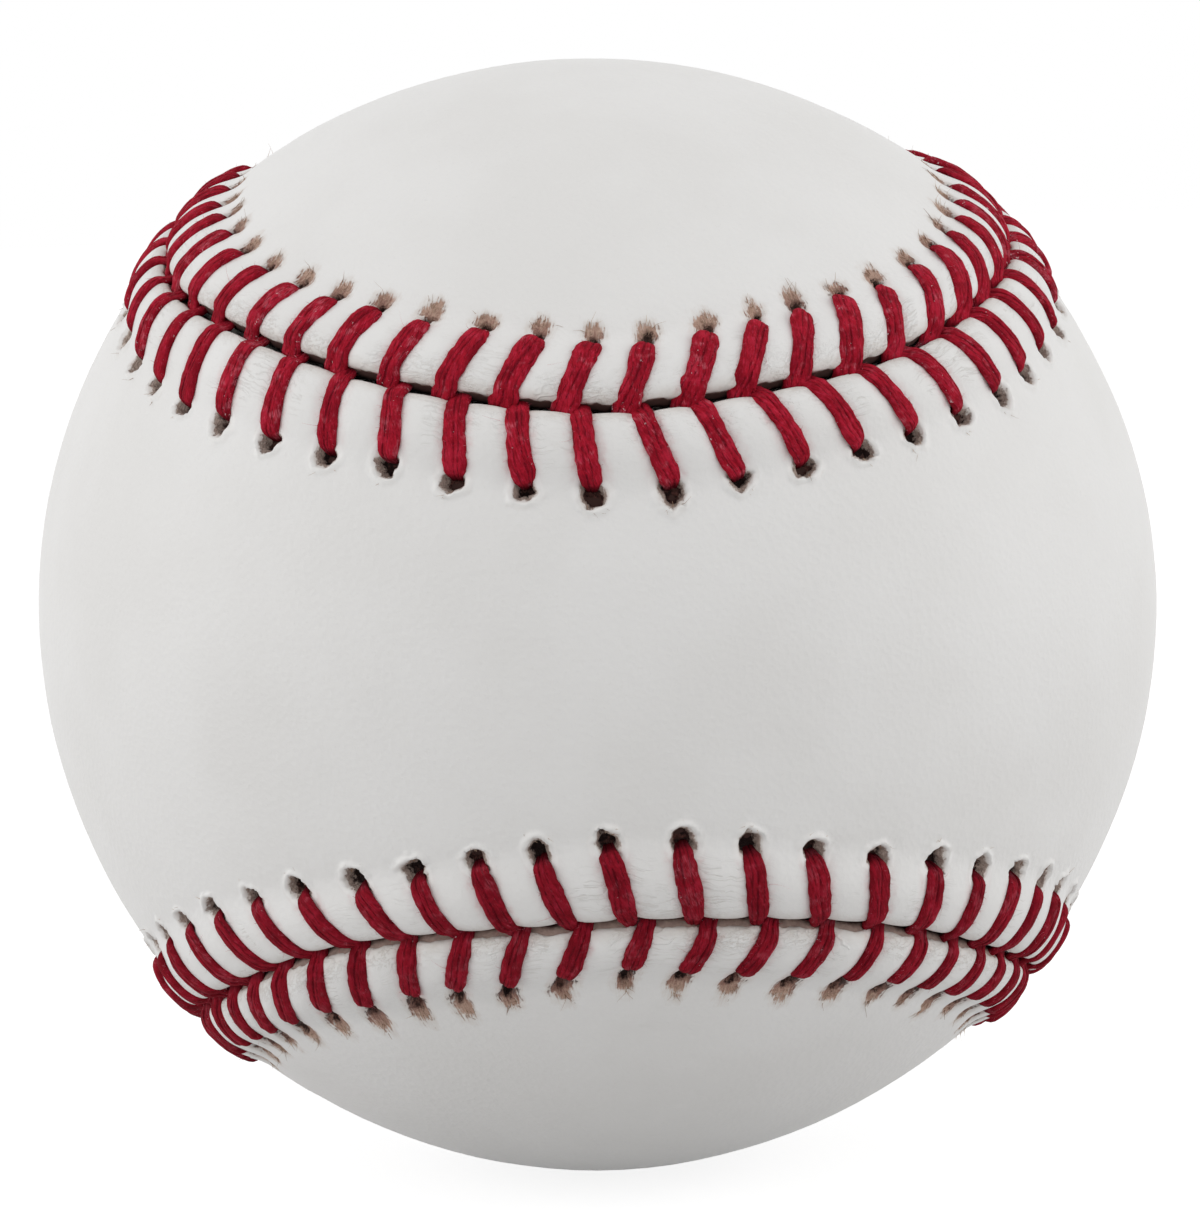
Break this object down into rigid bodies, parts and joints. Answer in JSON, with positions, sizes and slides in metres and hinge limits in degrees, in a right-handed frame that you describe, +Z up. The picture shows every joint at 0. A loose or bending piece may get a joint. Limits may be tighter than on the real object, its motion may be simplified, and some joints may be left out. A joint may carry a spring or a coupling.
{
  "type": "baseball",
  "caption": "Stitched leather ball with a cushioned cork centre, wool windings and two figure-eight cover panels sewn along one raised seam.",
  "frame": {"origin": "centre of the ball", "axes": "+Z up, -Y through the narrow waist of the front cover panel, whose lobes wrap to +X and -X; +Y through the waist of the back panel, whose lobes cover +Z and -Z"},
  "size_m": [0.074, 0.074, 0.074],
  "materials": {
    "cork": "matte",
    "black_rubber": "matte",
    "red_rubber": "matte",
    "grey_wool": "matte",
    "white_wool": "matte",
    "finishing_yarn": "matte",
    "white_leather": "satin",
    "red_thread": "satin"
  },
  "bodies": {
    "root": {"cork_core": "cork", "black_half_shell_front": "black_rubber", "black_half_shell_back": "black_rubber", "shell_washer": "red_rubber", "red_rubber_layer": "red_rubber", "grey_wool_winding_inner": "grey_wool", "white_wool_winding": "white_wool", "grey_wool_winding_outer": "grey_wool", "finishing_winding": "finishing_yarn", "cover_panel_front": "white_leather", "cover_panel_back": "white_leather", "stitches_front_panel": "red_thread", "stitches_back_panel": "red_thread"}
  },
  "joints": []
}
